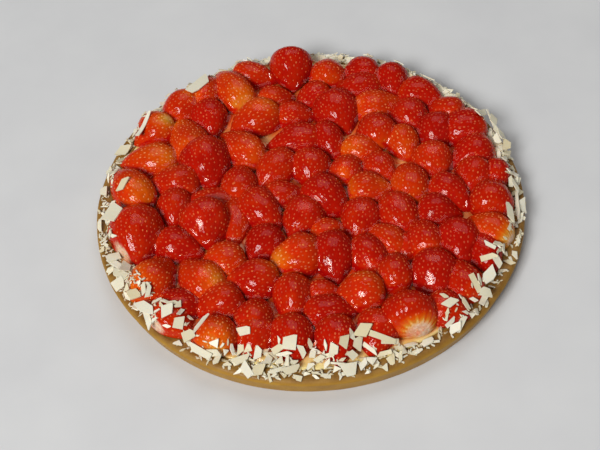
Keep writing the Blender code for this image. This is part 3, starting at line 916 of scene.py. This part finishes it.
def make_crust():
    """The base with its low wall: hand-pressed, so a little uneven all round."""
    inner = CREAM_RADIUS + FIT_GAP
    lip_radius, lip_height = RIM_RADIUS - RIM_ROUNDING, RIM_HEIGHT - RIM_ROUNDING
    foot_out = BASE_RADIUS + FOOT_WIDTH - RIM_RADIUS
    profile = [(0.0, CREAM_FLOOR), (inner, CREAM_FLOOR)]
    profile += [(inner, height) for height in np.linspace(CREAM_FLOOR + 2.0, LEDGE_TOP - 0.5, 3)]
    profile += [
        (inner + share * LEDGE_WIDTH, LEDGE_TOP + share * LEDGE_RISE)
        for share in np.linspace(0.03, 1.0, 9)
    ]
    profile += [
        (lip_radius + RIM_ROUNDING * math.sin(turn), lip_height + RIM_ROUNDING * math.cos(turn))
        for turn in np.linspace(0.0, math.pi / 2, 10)
    ]
    profile += [
        (RIM_RADIUS + share * foot_out, lip_height * (1.0 - share) + share * FOOT_HEIGHT)
        for share in np.linspace(0.08, 1.0, 12)
    ]
    profile += [(BASE_RADIUS, 0.0), (0.0, 0.0)]
    points = turned_round(profile, CRUST_STEPS)
    ledge = np.clip((points[:, 2] - RIM_HEIGHT + 2.5) / 2.3, 0.0, 1.0)
    radius = np.hypot(points[:, 0], points[:, 1])
    outward = points[:, :2] / np.maximum(radius, 1e-6)[:, None]
    swell = smooth_noise(points, *WALL_SWELL, SEED + 5)
    swell += smooth_noise(points, *WALL_BUMPS, SEED + 6)
    wall = np.clip((radius - inner - 1.0) / 4.0, 0.0, 1.0)
    out = np.minimum(swell - WALL_SET_BACK, WALL_MOST_OUT) * wall
    points[:, :2] += outward * out[:, None]
    top = (points[:, 2] > LEDGE_TOP - 1.5) & (radius > inner + 0.1)
    points[:, 2] += np.where(top, smooth_noise(points, *TOP_BUMPS, SEED + 7), 0.0)
    faces = faces_round(len(profile), CRUST_STEPS)
    crust = new_mesh("shortcrust_base", points, faces, crust_material())
    point_values(crust, "ledge", ledge)
    return crust


def flake_outline(draw, length, width):
    """Corners of one broken flake round the origin, long in X."""
    end, side = length / 2, width / 2
    if width < NARROW_SHARE * length or (length < LARGE_FLAKE and draw.random() < FOUR_SIDED):
        first, last = draw.uniform(-0.4, 0.4, 2) * side
        corners = [
            (first - end, -side),
            (end + last, -side * draw.uniform(0.75, 1.05)),
            (end - last, side * draw.uniform(0.75, 1.05)),
            (-end - first, side),
        ]
    else:
        count = int(draw.integers(4, 6))
        start = draw.uniform(0, math.tau)
        corners = []
        for k in range(count):
            turn = start + math.tau * (k + draw.uniform(-0.25, 0.25)) / count
            corners.append((end * math.cos(turn), side * math.sin(turn)))
    return np.array(corners)


def flake_shape(draw, length, width, thickness, curl):
    """A thin curled chip: its outline cut across into slices, so that it can bend."""
    corners = flake_outline(draw, length, width)
    slices = 4 if length > LONG_FLAKE else 2
    edges = list(zip(corners, np.roll(corners, -1, axis=0)))
    low = corners[:, 0].min() + FLAKE_TRIM * length
    high = corners[:, 0].max() - FLAKE_TRIM * length
    points, faces = [], []
    for place in np.linspace(low, high, slices + 1):
        crossings = [
            a[1] + (b[1] - a[1]) * (place - a[0]) / (b[0] - a[0])
            for a, b in edges
            if (a[0] - place) * (b[0] - place) < 0
        ]
        if len(crossings) < 2:
            continue
        first, last = min(crossings), max(crossings)
        bend = curl * (place / length) ** 2 * 4
        twist = FLAKE_TWIST * curl * place / length
        left, right, half = bend - twist, bend + twist, thickness / 2
        points += [(place, first, left - half), (place, last, right - half)]
        points += [(place, last, right + half), (place, first, left + half)]
    end = len(points) - 4
    for a in range(0, end, 4):
        faces += [(a + j, a + (j + 1) % 4, a + (j + 1) % 4 + 4, a + j + 4) for j in range(4)]
    faces += [(0, 3, 2, 1), (end, end + 1, end + 2, end + 3)]
    return np.array(points), faces


class Bed:
    """How a flake rests at a place: its normal, its middle's height, and what it covers."""

    def __init__(self, heights, x, y, length, width, heading, lean=(0.0, 0.0)):
        along, across = (
            np.linspace(-BED_SHARE, BED_SHARE, int(side / heights.step) + 3) * side
            for side in (length, width)
        )
        grid_u, grid_v = np.meshgrid(along, across, indexing="ij")
        side_x, side_y = rotated(grid_u.ravel(), grid_v.ravel(), heading)
        under = heights.at(x + side_x, y + side_y)
        under = np.maximum(under, under.max() - BED_DEPTH)
        system = np.stack([side_x, side_y, np.ones_like(side_x)], axis=1)
        slope_x, slope_y, _ = np.linalg.lstsq(system, under, rcond=None)[0]
        ease = min(1.0, FLAKE_SLOPE / max(math.hypot(slope_x, slope_y), 1e-6))
        slope_x, slope_y = slope_x * ease + lean[0], slope_y * ease + lean[1]
        rise = slope_x * side_x + slope_y * side_y
        self.level = np.quantile(under - rise, RESTING_SHARE)
        self.gap = self.level - np.median(under - rise)
        self.normal = Vector((-slope_x, -slope_y, 1.0)).normalized()
        self.covered = x + side_x, y + side_y, self.level + rise


def seen_place(heights, x, y, length, width, heading):
    """Where a flake rests that the camera sees at (x, y) on the level plane."""
    for z in np.arange(SIGHT_TOP, SIGHT_FLOOR, -SIGHT_STEP):
        place = sight_point(x, y, z)
        if math.hypot(*place) < FLAKE_REACH:
            if Bed(heights, *place, length, width, heading).level >= z:
                return place
    inward = min(1.0, FLAKE_REACH / math.hypot(x, y))
    return x * inward, y * inward


def lay_flake(heights, draw, x, y, length, width, heading, lean=5.0):
    """A flake resting on the highest points under it; the heights then include it."""
    thickness = draw.uniform(*FLAKE_THICKNESS)
    lean = np.tan(np.radians(draw.normal(0, lean, 2)))
    bed = Bed(heights, x, y, length, width, heading, lean)
    tilt = Vector((0.0, 0.0, 1.0)).rotation_difference(bed.normal).to_matrix()
    turn = np.array(tilt @ Matrix.Rotation(math.radians(heading), 3, "Z"))
    curl = draw.normal(0, 0.03) * length
    points, faces = flake_shape(draw, length, width, thickness, curl)
    heights.pile(*bed.covered, 0.9 * thickness)
    return np.array([x, y, bed.level + 0.4 * thickness]) + points @ turn.T, faces


def stand_flake(draw, heading):
    """A flake that stands tilted on the ledge behind the back row, its face to the middle."""
    turn = math.radians(heading)
    length, width = draw.uniform(4.0, 10.0), draw.uniform(3.0, 6.0)
    radius = draw.uniform(130.5, 135.5)
    thickness = draw.uniform(*FLAKE_THICKNESS)
    points, faces = flake_shape(draw, length, width, thickness, draw.normal(0, 0.05) * length)
    lean = -math.radians(draw.uniform(10, 45))
    turned = Matrix.Rotation(turn + math.pi / 2 + draw.normal(0, 0.35), 3, "Z")
    turned = turned @ Matrix.Rotation(lean, 3, "X")
    turned = turned @ Matrix.Rotation(draw.uniform(-0.5, 0.5), 3, "Z")
    lift = LEDGE_TOP + 0.4 + width / 2 * math.sin(-lean)
    middle = np.array([radius * math.cos(turn), radius * math.sin(turn), lift])
    return middle + points @ np.array(turned).T, faces


def make_flakes(heights):
    """All the white chocolate: strewn bits first, then standing ones, then those of the table."""
    draw = np.random.default_rng(SEED + 9)
    bare = heights.z.copy()
    parts = []
    for first, last, inner, outer, count, size in STREWN:
        for _ in range(count):
            turn = math.radians(draw.uniform(first, last))
            radius = math.sqrt(draw.uniform(inner**2, outer**2))
            length = size * min(7.0, 1.2 + draw.gamma(2.0, 1.1))
            width = min(length, max(0.9, length * draw.uniform(0.22, 0.62)))
            place = radius * math.cos(turn), radius * math.sin(turn)
            if any(math.dist(place, (x, y)) < reach for x, y, reach in BARE_PLACES):
                continue
            heading = draw.uniform(0, 180)
            bed = Bed(heights, *place, length, width, heading)
            if bed.gap < MOST_GAP and bed.level < bare[heights.cell(*place)] + MOST_PILED:
                parts.append(lay_flake(heights, draw, *place, length, width, heading, lean=8.0))
    for first, last, count in STANDING:
        for _ in range(count):
            parts.append(stand_flake(draw, draw.uniform(first, last)))
    for x, y, *size, heading in sorted(FLAKES, key=lambda row: row[2] * row[3]):
        length, width = (FLAKE_SHARE * side for side in size)
        place = seen_place(heights, x, y, length, width, heading)
        parts.append(lay_flake(heights, draw, *place, length, width, heading))
    return join_up("white_chocolate", parts, chocolate_material(), smooth=False)


def make_floor():
    """A plain pale floor."""
    shader = Shader("pale floor")
    colour = shader.ramp(shader.noise(60.0), (0.3, (0.6, 0.6, 0.6)), (0.7, (0.64, 0.64, 0.635)))
    plain = shader.dress(Base_Color=colour, Roughness=0.7)
    corners = FLOOR_REACH * np.array([(-1, -1, 0), (1, -1, 0), (1, 1, 0), (-1, 1, 0)])
    floor = new_mesh("floor", corners, [(0, 1, 2, 3)], plain, smooth=False)


def make_lights():
    """Soft light from the front left and above, with a faint sky all round."""
    for name, place, size, power in LIGHTS:
        light = bpy.data.lights.new(name, "AREA")
        light.shape = "RECTANGLE"
        light.size, light.size_y = size
        light.energy = power
        thing = put_in_scene(name, light)
        thing.location = place
        thing.rotation_mode = "QUATERNION"
        thing.rotation_quaternion = (-Vector(place)).to_track_quat("-Z", "Y")
    world = bpy.data.worlds.new("studio")
    world.use_nodes = True
    sky = world.node_tree.nodes["Background"].inputs
    sky["Color"].default_value = SKY_COLOUR
    sky["Strength"].default_value = SKY_STRENGTH
    bpy.context.scene.world = world
    bpy.context.scene.view_settings.view_transform = "Standard"


def make_camera():
    place, right, up, back = camera_axes()
    camera = bpy.data.cameras.new("camera")
    camera.lens = CAMERA_LENS
    camera.sensor_width = CAMERA_SENSOR
    thing = put_in_scene("camera", camera)
    facing = Matrix((right, up, back)).transposed().to_4x4()
    thing.matrix_world = Matrix.Translation(place * MM) @ facing
    bpy.context.scene.camera = thing


def main():
    heights = Heights(GRID_STEP, RIM_RADIUS + GRID_MARGIN)
    heights.lay_crust()
    heights.lay_berries()
    crust = make_crust()
    cream = make_cream(heights)
    berries = make_strawberries()
    glaze = make_glaze(heights)
    flakes = make_flakes(heights)
    for piece in (crust, cream, *berries, glaze, flakes):
        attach(piece, "root")
    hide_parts("crust")
    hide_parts("cream")
    for piece in berries:
        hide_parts("strawberries")
    make_floor()
    make_lights()
    make_camera()


main()
